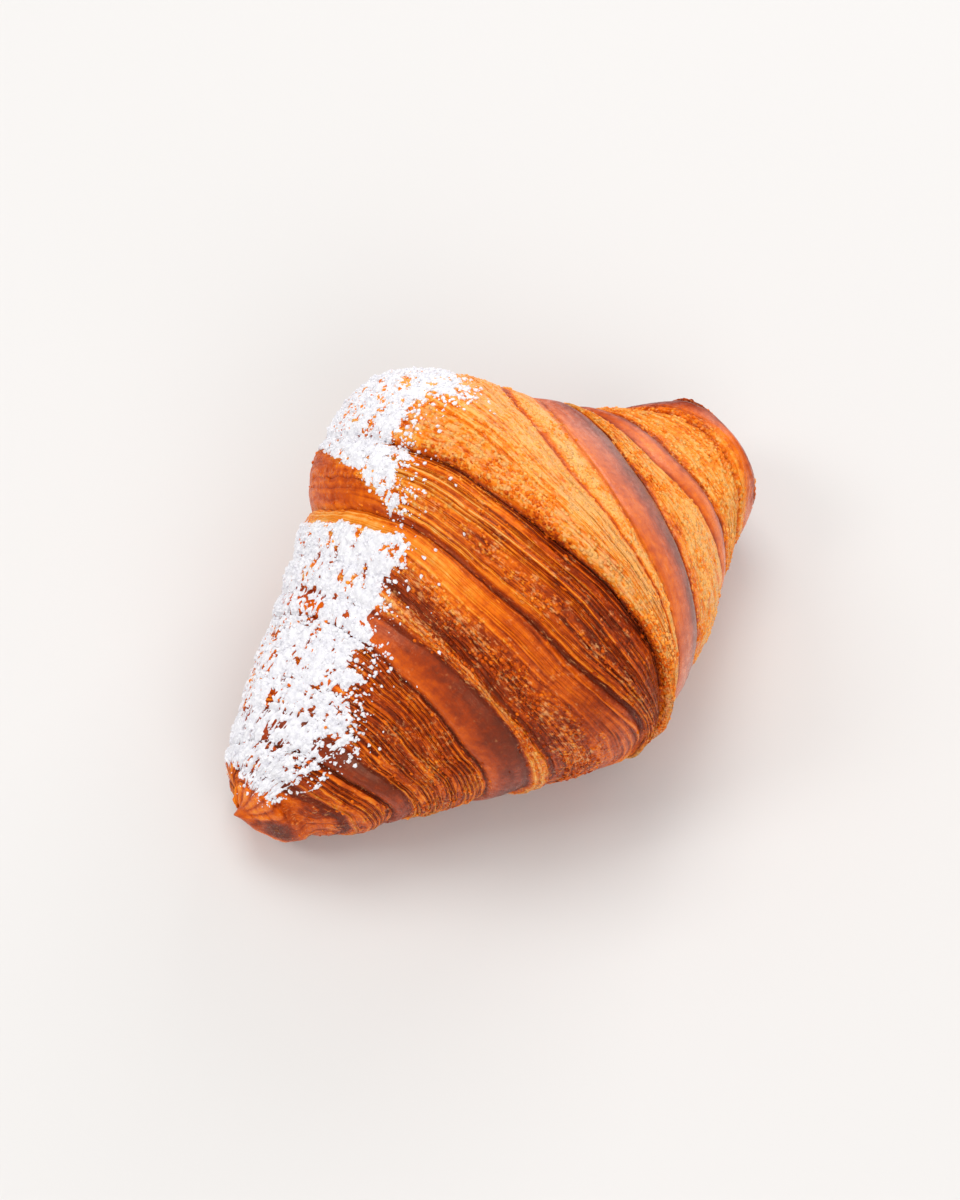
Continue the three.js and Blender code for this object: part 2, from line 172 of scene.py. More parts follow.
# the far side is dry and matt: the sheen fades in over these angles and ends where the far side starts
DRY_FADE = (55, 98)
DRY_START = 300
SMOOTH_SKIN = [(0, 0, 0, 0.3, 1), (1, 0, 0, 0.3, 1)]
SATIN_SKIN = [(0, 0, 0, 0.3, 0.74), (1, 0, 0, 0.3, 0.74)]
STRETCHES = [
    dict(rows=36, swell=0.3, ribs=3, depth=(0.3, 0.3, 0.4, 0.3),
         bake=[(0, 0.36, 0.42, 0.44, 0.44), (0.4, 0.36, 0.42, 0.46, 0.42), (1, 0.44, 0.54, 0.58, 0.56)],
         finish=[(0, 0.1, 0.1, 0, 0.6), (0.5, 0.1, 0.1, 0.3, 0.5), (0.7, 0.2, 0.1, 1, 0.2),
                 (1, 0.2, 0.1, 1, 0.2)]),
    dict(rows=40, swell=0.4, ribs=6, depth=(0.4, 0.4, 0.5, 0.4),
         bake=[(0, 0.4, 0.5, 0.6, 0.5), (1, 0.44, 0.64, 0.7, 0.54)],
         finish=[(0, 0.2, 0.1, 1, 0.2), (1, 0.25, 0.1, 1, 0.1)]),
    dict(rows=16, swell=0.3, ribs=0, depth=(0, 0, 0, 0),
         bake=[(0, 0.6, 0.8, 0.82, 0.72), (1, 0.6, 0.84, 0.84, 0.7)], finish=SATIN_SKIN),
    dict(rows=96, swell=0.5, ribs=15, depth=(0.4, 0.5, 0.7, 0.6),
         bake=[(0, 0.4, 0.54, 0.58, 0.46), (0.3, 0.42, 0.62, 0.68, 0.5), (0.7, 0.42, 0.58, 0.64, 0.48),
               (1, 0.42, 0.5, 0.56, 0.44)],
         finish=[(0, 0.3, 0.2, 1, 0.1), (0.5, 0.4, 0.3, 1, 0), (1, 0.3, 0.2, 1, 0.1)]),
    dict(rows=24, swell=0.4, ribs=0, depth=(0, 0, 0, 0),
         bake=[(0, 0.5, 0.54, 0.64, 0.7), (0.5, 0.5, 0.62, 0.8, 0.84), (1, 0.5, 0.62, 0.76, 0.78)],
         finish=SATIN_SKIN),
    dict(rows=24, swell=0.7, ribs=3, depth=(0.3, 0.3, 0.3, 0.3),
         bake=[(0, 0.5, 0.56, 0.6, 0.4), (0.5, 0.5, 0.5, 0.5, 0.34), (1, 0.5, 0.66, 0.66, 0.5)],
         finish=[(0, 0.4, 0.3, 0.8, 0), (0.5, 1, 0.9, 0.4, 0), (1, 0.5, 0.3, 0.8, 0)]),
    # the pale far-side and crown bake of this stretch's second half is partly golden crust, partly painted
    # highlight
    dict(rows=72, swell=1.0, ribs=12, depth=(0.25, 0.3, 0.5, 0.6),
         bake=[(0, 0.44, 0.64, 0.7, 0.6), (0.16, 0.4, 0.62, 0.7, 0.6), (0.3, 0.38, 0.46, 0.68, 0.6),
               (0.46, 0.3, 0.3, 0.64, 0.56), (0.62, 0.2, 0.22, 0.6, 0.56), (0.8, 0.14, 0.22, 0.56, 0.54),
               (0.9, 0.2, 0.36, 0.58, 0.54), (1, 0.1, 0.28, 0.56, 0.54)],
         finish=[(0, 0.2, 0.1, 1, 0), (0.28, 1, 0.7, 0.6, 0), (0.42, 0.6, 0.3, 0.4, 0.2),
                 (0.6, 0.1, 0, 0.4, 0.5), (0.86, 0.05, 0, 0.5, 0.5), (1, 0.2, 0.2, 0.6, 0.3)]),
    dict(rows=84, swell=1.2, ribs=12, depth=(0.35, 0.45, 0.75, 0.75),
         bake=[(0, 0.26, 0.56, 0.66, 0.6), (0.06, 0.2, 0.4, 0.56, 0.54), (0.2, 0.2, 0.5, 0.72, 0.58),
               (0.38, 0.22, 0.3, 0.72, 0.6), (0.6, 0.26, 0.36, 0.76, 0.58), (1, 0.4, 0.42, 0.72, 0.52)],
         finish=[(0, 0.1, 0.1, 1, 0.2), (0.1, 0.2, 0.2, 0.7, 0.2), (0.2, 0.8, 0.45, 0.6, 0),
                 (0.38, 0.3, 0.2, 1, 0.1), (0.8, 0.2, 0.1, 1, 0.15), (1, 0.2, 0.1, 1, 0.1)]),
    # the pale bake and pale dough of this stretch's second half are partly pale crust, partly painted
    # highlight
    dict(rows=84, swell=1.4, ribs=12, depth=(0.25, 0.3, 0.35, 0.35),
         bake=[(0, 0.4, 0.56, 0.6, 0.56), (0.08, 0.34, 0.4, 0.34, 0.44), (0.22, 0.28, 0.32, 0.2, 0.34),
               (0.4, 0.24, 0.22, 0.24, 0.42), (0.6, 0.2, 0.12, 0.06, 0.3), (1, 0.2, 0.04, 0.02, 0.24)],
         finish=[(0, 1, 0.4, 0.1, 0), (0.08, 1, 1, 0.1, 0), (0.26, 1, 0.9, 0.2, 0), (0.4, 0.5, 0.4, 0.6, 0.1),
                 (0.6, 0.35, 0.8, 0.6, 0.15), (1, 0.35, 1, 0.5, 0.15)]),
    dict(rows=14, swell=0.4, ribs=0, depth=(0, 0, 0, 0),
         bake=[(0, 0.3, 0.3, 0.3, 0.36), (0.3, 0.3, 0.08, 0.06, 0.28), (1, 0.36, 0.2, 0.2, 0.4)],
         finish=[(0, 0.3, 0.3, 0.8, 0.2), (0.4, 0.9, 0.8, 0.2, 0.2), (1, 0.2, 0.2, 0.5, 0.4)]),
    dict(rows=24, swell=0.5, ribs=0, depth=(0, 0, 0, 0),
         bake=[(0, 0.54, 0.44, 0.44, 0.44), (0.4, 0.58, 0.5, 0.5, 0.48), (0.66, 0.68, 0.68, 0.68, 0.6),
               (1, 0.8, 0.96, 0.96, 0.8)],
         finish=SMOOTH_SKIN),
    dict(rows=36, swell=0.6, ribs=6, depth=(0.3, 0.3, 0.3, 0.35),
         bake=[(0, 0.44, 0.4, 0.34, 0.32), (0.3, 0.36, 0.22, 0.14, 0.18), (0.7, 0.32, 0.2, 0.12, 0.18),
               (1, 0.32, 0.26, 0.22, 0.26)],
         finish=[(0, 0.5, 0.2, 0.4, 0.1), (0.5, 0.7, 0.4, 0.3, 0.2), (1, 0.5, 0.5, 0.4, 0.2)]),
    dict(rows=14, swell=0.4, ribs=0, depth=(0, 0, 0, 0),
         bake=[(0, 0.66, 0.46, 0.4, 0.4), (0.7, 0.66, 0.46, 0.42, 0.4), (1, 0.84, 0.84, 0.74, 0.56)],
         finish=[(0, 0, 0, 0.9, 0.6), (0.3, 0, 0, 0.5, 0.9), (1, 0, 0, 0.3, 1)]),
    dict(rows=40, swell=0.6, ribs=6, depth=(0.3, 0.3, 0.3, 0.35),
         bake=[(0, 0.4, 0.36, 0.32, 0.3), (0.3, 0.32, 0.2, 0.14, 0.18), (1, 0.34, 0.18, 0.12, 0.18)],
         finish=[(0, 0.5, 0.3, 0.4, 0.1), (1, 0.8, 0.4, 0.3, 0.2)]),
    dict(rows=18, swell=0.4, ribs=2, depth=(0.2, 0.2, 0.2, 0.2),
         bake=[(0, 0.74, 0.4, 0.3, 0.34), (0.3, 0.84, 0.5, 0.44, 0.44), (0.6, 0.86, 0.52, 0.46, 0.46),
               (1, 0.84, 0.84, 0.8, 0.64)],
         finish=[(0, 0.6, 0.4, 0.8, 0.1), (0.3, 0.2, 0.2, 0.8, 0.5), (0.55, 0.05, 0, 0.5, 0.85),
                 (1, 0, 0, 0.4, 0.85)]),
    dict(rows=22, swell=0.2, ribs=2, depth=(0.2, 0.2, 0.2, 0.2),
         bake=[(0, 0.7, 0.36, 0.34, 0.4), (0.3, 0.66, 0.3, 0.28, 0.36), (1, 0.5, 0.4, 0.36, 0.4)],
         finish=[(0, 0.5, 0.3, 0.8, 0.1), (1, 0.5, 0.2, 0.6, 0.1)]),
]

STEP_WIDTH = 0.8
STEP_LEAN = 0.22
CURL_REACH = 3.2
TUCK_REACH = 2.0
LIP_ROUNDING = 0.35
LIP_SHARE = 0.25
SEAM_WAVER, SEAM_FRAY = 0.7, 0.22
CRUMB_RELIEF, BUBBLE_RELIEF = 0.12, 0.38
SLOW_WAVE, QUICK_WAVE = 0.35, 0.16
UNDERSIDE_ANGLE = 270
UNDERSIDE_FADE = (38, 62)
RIB_WANDER, RIB_WAVER, RIB_UNEVENNESS = 1.5, 0.12, 1.3
RIB_LIP, RIB_GROOVE, RIB_BODY = 0.35, 0.7, 0.12
SPIRAL_DEPTH = 1.3
SPIRAL_TURNS = 2
TIP_REACH_ANGLE, TIP_REACH_LENGTH, TIP_REACH_SPREAD = 138, 1.8, 90
TIP_REACH_FADE = (0.16, 0.45)
PETALS = 22
PETAL_DEPTH = 0.7

# Small bulges of dough: the nub under the left tip and the heel where the ridges meet near the table.
# Each has its place along X and its angle, how far it stands out, its reach both ways, and a change of
# its tone, which on the nub is painted shade under the overhanging tip and lies a little higher than the
# bulge.
NUB = dict(place=-64.8, angle=206, length=1.1, width=1.8, spread=20,
           brown=0.6, brown_place=-63.8, brown_angle=176)
HEEL = dict(place=2.0, angle=206, length=1.7, width=3.5, spread=9,
            brown=-0.1, brown_place=2.0, brown_angle=206)

# columns of the mesh: each run of angles with its number of columns, finest where the layers show best
COLUMN_RUNS = [(-20, 15, 9), (15, 200, 110), (200, 256, 22), (256, 340, 10)]


def curve_through(places, values, x, closed=False):
    """Smooth cubic through the given values; a closed one repeats after one turn of 360 degrees."""
    px, pv = np.asarray(places, float), np.asarray(values, float)
    if closed:
        px = np.concatenate([px[-2:] - 360, px, px[:2] + 360])
        pv = np.concatenate([pv[-2:], pv, pv[:2]])
    slope = np.empty_like(pv)
    slope[1:-1] = (pv[2:] - pv[:-2]) / (px[2:] - px[:-2])
    slope[0] = (pv[1] - pv[0]) / (px[1] - px[0])
    slope[-1] = (pv[-1] - pv[-2]) / (px[-1] - px[-2])
    k = np.clip(np.searchsorted(px, x) - 1, 0, len(px) - 2)
    span = px[k + 1] - px[k]
    t = (x - px[k]) / span
    start = (2 * t**3 - 3 * t**2 + 1) * pv[k] + (t**3 - 2 * t**2 + t) * span * slope[k]
    return start + (3 * t**2 - 2 * t**3) * pv[k + 1] + (t**3 - t**2) * span * slope[k + 1]


def smooth_step(low, high, x):
    """0 below low, 1 above high, and a soft slope between."""
    t = np.clip((x - low) / (high - low), 0, 1)
    return t * t * (3 - 2 * t)


def turn_between(a, b):
    """Difference of two angles in degrees, between -180 and 180."""
    return (a - b + 540) % 360 - 180


NOISE_CELLS = 256


def grain(u, v, seed, around=NOISE_CELLS):
    """Smooth seeded noise from 0 to 1 over unit cells, closed along v after a whole number of cells."""
    table = np.random.default_rng(seed).random((NOISE_CELLS, NOISE_CELLS))
    cell_u, cell_v = np.floor(u).astype(int), np.floor(v).astype(int)
    part_u, part_v = u - cell_u, v - cell_v
    ease_u = part_u * part_u * (3 - 2 * part_u)
    ease_v = part_v * part_v * (3 - 2 * part_v)
    rows = [cell_u % NOISE_CELLS, (cell_u + 1) % NOISE_CELLS]
    columns = [cell_v % around % NOISE_CELLS, (cell_v + 1) % around % NOISE_CELLS]
    near = table[rows[0], columns[0]] * (1 - ease_v) + table[rows[0], columns[1]] * ease_v
    far = table[rows[1], columns[0]] * (1 - ease_v) + table[rows[1], columns[1]] * ease_v
    return near * (1 - ease_u) + far * ease_u


def relief_share(angle):
    """Relief shows on all of the roll but fades out under it."""
    return smooth_step(*UNDERSIDE_FADE, np.abs(turn_between(angle, UNDERSIDE_ANGLE)))


def unevenness(x, angle):
    """Soft unevenness of hand-rolled dough."""
    a = np.radians(angle)
    slow = np.sin(x / 11 + 2 * a) * np.cos(3 * a - x / 19)
    quick = np.sin(x / 4.3 - 5 * a) * np.cos(4 * a + x / 7)
    return SLOW_WAVE * slow + QUICK_WAVE * quick


def surface_point(x, angle, height, spiral):
    """Points of the pastry at places along X and angles, moved out by a height."""
    share = np.clip(x / HALF_LENGTH, -1, 1)
    half, ratio, side = (curve_through(GIRTH[:, 0], GIRTH[:, k], share) for k in (1, 2, 3))
    tall = 2 * half * ratio
    lift = np.where(share < 0, LEFT_TIP_LIFT, RIGHT_TIP_LIFT) * np.abs(share) ** 3
    into_tip = np.maximum(np.abs(x) - (HALF_LENGTH - TIP_ROUNDING), 0) / TIP_ROUNDING
    closing = np.sqrt(np.maximum(1 - into_tip**2, 0))
    a = np.radians(angle)
    cos = np.sign(np.cos(a)) * np.abs(np.cos(a)) ** (2 / SQUARENESS)
    sin = np.sign(np.sin(a)) * np.abs(np.sin(a)) ** (2 / SQUARENESS)
    outward = height + spiral * closing
    return np.stack([
        x + np.sign(x) * spiral * (1 - closing) - PLAN_MIDDLE[0],
        side + (half + outward) * closing * cos - PLAN_MIDDLE[1],
        np.maximum(CENTRE_SHARE * tall + lift + (ROUND_SHARE * tall + outward) * closing * sin, 0),
    ], axis=-1)


def spiral_layer(outward, angle):
    """Sawtooth that climbs from one layer of the rolled sheet to the next."""
    turns = SPIRAL_TURNS * outward - angle / 360 + 2
    part = turns - np.floor(turns)
    return smooth_step(0, 0.7, part) - smooth_step(0.75, 1, part)


def layer_ribs(stretch, number, u, angle):
    """Edges of the dough layers in one stretch: uneven shingles that wander, merge and part, in mm."""
    held = smooth_step(0, 0.12, u) * (1 - smooth_step(0.88, 1, u)) * (stretch["ribs"] > 0)
    wander = (grain(u * 2.2 + 40 * number, angle / 360 * 9, 11, 9) - 0.5) * RIB_WANDER
    wander = wander + (grain(u * 5 + 40 * number, angle / 360 * 24, 12, 24) - 0.5) * RIB_WAVER
    uneven = (grain(u * stretch["ribs"] * 0.7 + 17 * number, 0 * angle, 14) - 0.5) * RIB_UNEVENNESS
    place = stretch["ribs"] * u + (wander + uneven) * held
    index = np.floor(place)
    part = place - index
    strength = 1.9 * grain(index * 7 + 31 * number, angle / 360 * 9, 13, 9) ** 1.4
    groove = np.exp(-(part / 0.13) ** 2) + np.exp(-((1 - part) / 0.07) ** 2)
    lip = np.exp(-((part - 0.3) / 0.16) ** 2)
    depth = curve_through(BAKE_ANGLES, [*stretch["depth"], 0], angle, True)
    return depth * strength * (RIB_LIP * lip - RIB_GROOVE * groove + RIB_BODY), place


# smooth wall of the deep fold on the far side, which the dough above it shields from the sugar
FOLD_STRETCH = 7
FOLD_GLOSS, FOLD_BROWN = 0.7, 0.55


def fold_width(angle):
    """How far the smooth wall of the fold reaches past its seam, in mm."""
    return np.interp(angle, [10, 32, 56, 74], [7.5, 6, 3.4, 0.01], right=0.01)


def surface_grid(row_counts, angles):
    """Places, heights and finish of the whole pastry on rows of each stretch by a list of angles."""
    angles = angles[None, :]
    turn = angles % 360
    fade = relief_share(angles)
    seam_x = [curve_through(SEAM_ANGLES, seam["at"], turn, True) for seam in SEAMS]
    rise, curl, tuck = (
        [fade * curve_through(RISE_ANGLES, seam.get(key, NO_ROLL), turn, True) for seam in SEAMS]
        for key in ("rise", "curl", "tuck"))
    for k in range(len(SEAMS)):
        ragged = (grain(k * 5.0 + 0 * turn, turn / 360 * 26, 21, 26) - 0.5) * SEAM_WAVER
        ragged = ragged + (grain(k * 5.0 + 0 * turn, turn / 360 * 110, 22, 110) - 0.5) * SEAM_FRAY
        seam_x[k] = seam_x[k] + fade * ragged
    parts = []
    last = len(STRETCHES) - 1
    for i, stretch in enumerate(STRETCHES):
        shares = np.linspace(0, 1, row_counts[i] + 1)
        if i == 0:
            shares = shares[1:]
        if i == last:
            shares = shares[:-1]
        u = shares[:, None] + 0 * angles
        spiral = 0 * u
        if i == 0:
            end = seam_x[0] - STEP_WIDTH / 2
            x = -HALF_LENGTH + (end + HALF_LENGTH) * u**2
            reach = TIP_REACH_LENGTH * np.exp(-(turn_between(turn, TIP_REACH_ANGLE) / TIP_REACH_SPREAD) ** 2)
            reach = reach * (1 - smooth_step(*TIP_REACH_FADE, u))
            petals = np.abs(np.sin(np.pi * (turn / 360 * PETALS + 1.2 * u))) ** 0.7 - 0.6
            petals = petals * smooth_step(0.1, 0.3, u) * (1 - smooth_step(0.5, 0.75, u))
            petals = petals * smooth_step(14, 26, np.abs(turn_between(turn, NUB["brown_angle"])))
            spiral = SPIRAL_DEPTH * spiral_layer(u, angles) * (1 - smooth_step(0.55, 1, u))
            spiral = spiral + reach + PETAL_DEPTH * petals
        elif i == last:
            start = seam_x[-1] + STEP_WIDTH / 2
            x = HALF_LENGTH - (HALF_LENGTH - start) * (1 - u) ** 2
            spiral = SPIRAL_DEPTH * spiral_layer(1 - u, angles) * smooth_step(0, 0.45, u)
        else:
            start = seam_x[i - 1] + STEP_WIDTH / 2
            end = seam_x[i] - STEP_WIDTH / 2
            lean = STEP_LEAN * np.maximum(rise[i - 1], 0) * (1 - smooth_step(0, 0.25, u))
            dip = STEP_LEAN * np.maximum(-rise[i], 0) * smooth_step(0.75, 1, u)
            x = start + (end - start) * u - lean + dip
        height = fade * stretch["swell"] * 4 * u * (1 - u)
        if i > 0:
            past = np.maximum(x - seam_x[i - 1], 0)
            height = height + rise[i - 1] / 2 * (1 - u) ** 2 - curl[i - 1] * np.exp(-past / CURL_REACH)
            height = height - LIP_SHARE * np.maximum(rise[i - 1], 0) * np.exp(-past / LIP_ROUNDING)
        if i < last:
            ahead = np.maximum(seam_x[i] - x, 0)
            height = height - rise[i] / 2 * u**2 - tuck[i] * np.exp(-ahead / TUCK_REACH)
            height = height + LIP_SHARE * np.minimum(rise[i], 0) * np.exp(-ahead / LIP_ROUNDING)
        ribs, rib_place = layer_ribs(stretch, i, u, turn)
        height = height + fade * ribs
        part = dict(x=x, spiral=spiral, layer=rib_place + sum(s["ribs"] for s in STRETCHES[:i]))
        finish = np.array(stretch["finish"])
        for k, key in enumerate(("bubbles", "cream", "lines", "gloss")):
            part[key] = np.interp(u, finish[:, 0], finish[:, k + 1])
        crumbs = grain(x * 1.1, turn / 360 * 110, 31, 110) - 0.5
        crumbs = crumbs + 0.7 * (grain(x * 2.2, turn / 360 * 170, 32, 170) - 0.5)
        crumb_relief = (CRUMB_RELIEF + BUBBLE_RELIEF * part["bubbles"]) * (1 - part["gloss"])
        height = height + fade * crumb_relief * crumbs
        height = height + fade * unevenness(x, turn)
        part["brown"] = -0.4 * petals if i == 0 else 0 * u
        for bulge in (NUB, HEEL):
            along = (x - bulge["place"]) / bulge["width"]
            around = turn_between(turn, bulge["angle"]) / bulge["spread"]
            height = height + bulge["length"] * np.exp(-(along**2) - around**2)
            # change of tone: on the nub this is painted shade under the overhanging left tip
            along = (x - bulge["brown_place"]) / bulge["width"]
            around = turn_between(turn, bulge["brown_angle"]) / bulge["spread"]
            part["brown"] = part["brown"] + bulge["brown"] * np.exp(-(along**4) - around**4)
        part["height"] = height
        baked = [
            curve_through(BAKE_ANGLES, [*row[1:], UNDERSIDE_BROWN], turn, True)
            for row in stretch["bake"]]
        for k in range(len(baked) - 1):
            low, high = stretch["bake"][k][0], stretch["bake"][k + 1][0]
            share = np.clip((u - low) / (high - low), 0, 1)
            held = (u >= low) * ((u < high) if k < len(baked) - 2 else 1)
            part["brown"] = part["brown"] + held * (baked[k] * (1 - share) + baked[k + 1] * share)
        part["dry"] = 1 - smooth_step(*DRY_FADE, turn) * (turn < DRY_START) + 0 * u
        if i == FOLD_STRETCH:
            wall = 1 - smooth_step(0.7, 1.1, (x - seam_x[i - 1]) / fold_width(turn))
            part["gloss"] = part["gloss"] * (1 - wall) + FOLD_GLOSS * wall
            part["brown"] = part["brown"] * (1 - wall) + FOLD_BROWN * wall
            part["lines"] = part["lines"] * (1 - wall)
        parts.append(part)
    grid = {key: np.concatenate([part[key] for part in parts]) for key in parts[0]}
    grid["angle"] = angles + 0 * grid["x"]
    grid["place"] = surface_point(grid["x"], grid["angle"], grid["height"], grid["spiral"])
    return grid


def blurred(values, reach):
    """Running mean over rows."""
    padded = np.concatenate([values[:1].repeat(reach, 0), values, values[-1:].repeat(reach, 0)])
    total = np.cumsum(np.concatenate([padded[:1] * 0, padded]), axis=0)
    return (total[2 * reach + 1:] - total[:-2 * reach - 1]) / (2 * reach + 1)


def mesh_object(name, points, faces, attributes, uv=None):
    """A smooth-shaded mesh object in metres, with a number or a vector per point for each finish."""
    mesh = bpy.data.meshes.new(name)
    mesh.from_pydata((np.asarray(points) * MM).tolist(), [], faces)
    mesh.shade_smooth()
    for key, values in attributes.items():
        values = np.asarray(values, np.float32)
        kind, field = ("FLOAT", "value") if values.ndim == 1 else ("FLOAT_VECTOR", "vector")
        mesh.attributes.new(key, kind, "POINT").data.foreach_set(field, values.ravel())
    if uv is not None:
        corners = np.empty(len(mesh.loops), np.int32)
        mesh.loops.foreach_get("vertex_index", corners)
        layer = mesh.uv_layers.new(name="layers")
        layer.data.foreach_set("uv", np.asarray(uv, np.float32)[corners].ravel())
    made = bpy.data.objects.new(name, mesh)
    bpy.context.scene.collection.objects.link(made)
    return made


column_angles = np.concatenate([np.linspace(a, b, n, endpoint=False) for a, b, n in COLUMN_RUNS])
crust_grid = surface_grid([s["rows"] for s in STRETCHES], column_angles)
rows, columns = crust_grid["x"].shape
crust_points = crust_grid["place"].reshape(-1, 3)
poles = surface_point(np.array([-HALF_LENGTH, HALF_LENGTH]), np.zeros(2), np.zeros(2), np.zeros(2))

# distance across the layers, the same all the way along each of them, and angle round the roll
steps = np.linalg.norm(np.diff(crust_grid["place"], axis=0), axis=-1)
across_mean = np.concatenate([[0], np.cumsum(steps.mean(axis=1))])
across = across_mean[:, None] + 0 * crust_grid["x"]
along = np.broadcast_to(column_angles[None, :], across.shape)

# how far each spot lies below its neighbours, for the painted shade that darkens the hollows, in mm and rows
NARROW_HOLLOW, NARROW_ROWS = 0.35, 5
WIDE_HOLLOW, WIDE_ROWS = 1.2, 16
hollow = blurred(crust_grid["height"], NARROW_ROWS) - crust_grid["height"]
wide_hollow = blurred(crust_grid["height"], WIDE_ROWS) - crust_grid["height"]
hollow_shade = np.clip(hollow / NARROW_HOLLOW, -1, 1) * 0.6 + np.clip(wide_hollow / WIDE_HOLLOW, -1, 1) * 0.4

faces = []
for r in range(rows - 1):
    for c in range(columns):
        d = (c + 1) % columns
        faces.append((r * columns + c, r * columns + d, (r + 1) * columns + d, (r + 1) * columns + c))
left_pole, right_pole = rows * columns, rows * columns + 1
faces += [(left_pole, (c + 1) % columns, c) for c in range(columns)]
top_row = (rows - 1) * columns
faces += [(right_pole, top_row + c, top_row + (c + 1) % columns) for c in range(columns)]


def with_poles(values):
    """Grid values as one list, with the first and last row's mean for the two tips."""
    return np.concatenate([values.ravel(), [values[0].mean(), values[-1].mean()]])


croissant = mesh_object(
    "croissant_crust",
    np.concatenate([crust_points, poles]),
    faces,
    {
        "brown": with_poles(crust_grid["brown"]),
        "cream": with_poles(crust_grid["cream"]),
        "gloss": with_poles(crust_grid["gloss"]),
        "bubbles": with_poles(crust_grid["bubbles"]),
        "lines": with_poles(crust_grid["lines"]),
        "layer": with_poles(crust_grid["layer"]),
        "dry": with_poles(crust_grid["dry"]),
        "hollow_shade": with_poles(hollow_shade),
    },
    np.stack([with_poles(across), with_poles(along)], axis=-1),
)


def add_node(tree, kind, settings=None, **inputs):
    """One node of a tree; each input is a plain value or the socket that feeds it."""
    node = tree.nodes.new(kind)
    for key, value in (settings or {}).items():
        setattr(node, key, value)
    for key, value in inputs.items():
        name = key.replace("_", " ").strip()
        socket = node.inputs[int(name[1:])] if name[:1] == "i" and name[1:].isdigit() else node.inputs[name]
        if isinstance(value, bpy.types.NodeSocket):
            tree.links.new(value, socket)
        else:
            socket.default_value = value
    return node


def arithmetic(tree, operation, a, b):
    """A sum, difference or product of two shader values."""
    return add_node(tree, "ShaderNodeMath", {"operation": operation}, i0=a, i1=b).outputs[0]


def attribute(tree, name):
    """A finish kept on the mesh."""
    return add_node(tree, "ShaderNodeAttribute", {"attribute_name": name}).outputs["Fac"]


def mapped(tree, values, low, high, out_low=0.0, out_high=1.0):
    """A shader value stretched from one range to another, held at its ends."""
    return add_node(
        tree, "ShaderNodeMapRange", {"interpolation_type": "SMOOTHSTEP"}, Value=values,
        From_Min=low, From_Max=high, To_Min=out_low, To_Max=out_high).outputs[0]


def noise(tree, vector, scale=1.0, detail=3.0, rough=0.5):
    """Smooth shader noise around one half."""
    return add_node(
        tree, "ShaderNodeTexNoise", Vector=vector, Scale=scale, Detail=detail, Roughness=rough).outputs[0]


def weighted(tree, total, values, weight, middle=0.0):
    """A total plus a value's distance from its middle, times a weight that may itself be a value."""
    change = arithmetic(tree, "SUBTRACT", values, middle) if middle else values
    return arithmetic(tree, "ADD", total, arithmetic(tree, "MULTIPLY", change, weight))


crust = bpy.data.materials.new("baked_crust")
crust.use_nodes = True
crust_tree = crust.node_tree
bsdf = crust_tree.nodes["Principled BSDF"]
place = add_node(crust_tree, "ShaderNodeTexCoord").outputs["Object"]
layer_uv = add_node(crust_tree, "ShaderNodeUVMap", {"uv_map": "layers"}).outputs["UV"]
gloss = attribute(crust_tree, "gloss")
bubbles = attribute(crust_tree, "bubbles")
lines = attribute(crust_tree, "lines")
dryness = attribute(crust_tree, "dry")
rough_share = mapped(crust_tree, gloss, 0.2, 1.0, 1.0, 0.12)

# the layer coordinates, in mm across and degrees along, bent a little by the unevenness of the dough
bend = noise(crust_tree, place, 60.0, 2.0)
bent = add_node(
    crust_tree, "ShaderNodeCombineXYZ", X=arithmetic(crust_tree, "MULTIPLY", bend, 2.2)).outputs[0]
layer_place = add_node(
    crust_tree, "ShaderNodeVectorMath", {"operation": "ADD"}, i0=layer_uv, i1=bent).outputs[0]


def layer_noise(across_scale, along_scale, detail, rough=0.6):
    """Noise drawn out along the dough layers."""
    moved = add_node(
        crust_tree, "ShaderNodeMapping", Vector=layer_place, Scale=(across_scale, along_scale, 1)).outputs[0]
    return noise(crust_tree, moved, 1.0, detail, rough)


streaks = layer_noise(0.5, 0.03, 4.0)
flecks = layer_noise(1.5, 0.42, 3.0, 0.65)
fibres = layer_noise(2.6, 0.10, 2.0, 0.6)
layer_number = attribute(crust_tree, "layer")
along_layer = add_node(crust_tree, "ShaderNodeSeparateXYZ", Vector=layer_uv).outputs["Y"]


def layer_edges(count, shift, break_length, width):
    """Thin gaps between dough layers, so many to a rib, each broken here and there, and the crests."""
    waver = arithmetic(crust_tree, "MULTIPLY", streaks, 0.5)
    spot = arithmetic(crust_tree, "ADD", arithmetic(crust_tree, "MULTIPLY", layer_number, count), shift)
    spot = arithmetic(crust_tree, "ADD", spot, waver)
    part = arithmetic(crust_tree, "FRACT", spot, 0)
    index = arithmetic(crust_tree, "FLOOR", spot, 0)
    own = add_node(
        crust_tree, "ShaderNodeCombineXYZ", X=arithmetic(crust_tree, "MULTIPLY", index, 5.3),
        Y=arithmetic(crust_tree, "MULTIPLY", along_layer, 1 / break_length)).outputs[0]
    strength = mapped(crust_tree, noise(crust_tree, own, 1.0, 1.0), 0.36, 0.62)
    from_middle = arithmetic(crust_tree, "ABSOLUTE", arithmetic(crust_tree, "SUBTRACT", part, 0.5), 0)
    gap = arithmetic(crust_tree, "MULTIPLY", mapped(crust_tree, from_middle, 0.5 - width, 0.5), strength)
    crest = arithmetic(crust_tree, "MULTIPLY", mapped(crust_tree, from_middle, 0.3, 0.0), strength)
    return gap, crest


broad_gap, broad_crest = layer_edges(1.0, 0.0, 26.0, 0.2)
thin_gap, thin_crest = layer_edges(3.0, 0.3, 12.0, 0.24)
line_share = arithmetic(crust_tree, "MULTIPLY", lines, rough_share)
gaps = arithmetic(
    crust_tree, "MULTIPLY", line_share, weighted(crust_tree, broad_gap, thin_gap, 0.7))
lips = arithmetic(
    crust_tree, "MULTIPLY", line_share, weighted(crust_tree, broad_crest, thin_crest, 0.7))

blotches = noise(crust_tree, place, 150.0, 4.0, 0.6)
mottle = noise(crust_tree, place, 700.0, 3.0, 0.6)
pits = noise(crust_tree, place, 2400.0, 2.0, 0.6)

